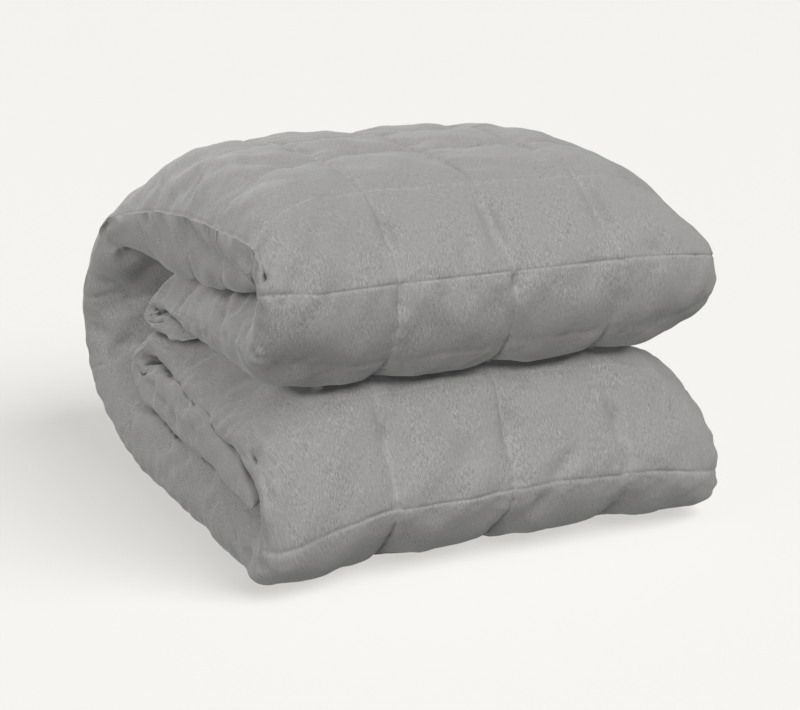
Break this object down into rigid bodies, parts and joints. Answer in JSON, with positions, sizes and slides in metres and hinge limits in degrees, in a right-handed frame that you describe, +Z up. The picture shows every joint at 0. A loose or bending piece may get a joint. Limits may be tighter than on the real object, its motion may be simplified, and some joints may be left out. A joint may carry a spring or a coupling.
{
  "type": "weighted blanket",
  "caption": "Thick quilted weighted blanket, folded back and forth into a plump bundle with rounded folds at the front and back.",
  "frame": {"origin": "on the surface, under the middle of the bundle's bounding box", "axes": "+Z up, -Y towards the two front folds, +X along the folds to the flatter sewn end"},
  "size_m": [0.4256, 0.4707, 0.3008],
  "materials": {
    "blanket_cloth": "brushed grey marl cloth, quilted, matt"
  },
  "bodies": {
    "root": {"blanket": "blanket_cloth"}
  },
  "joints": []
}
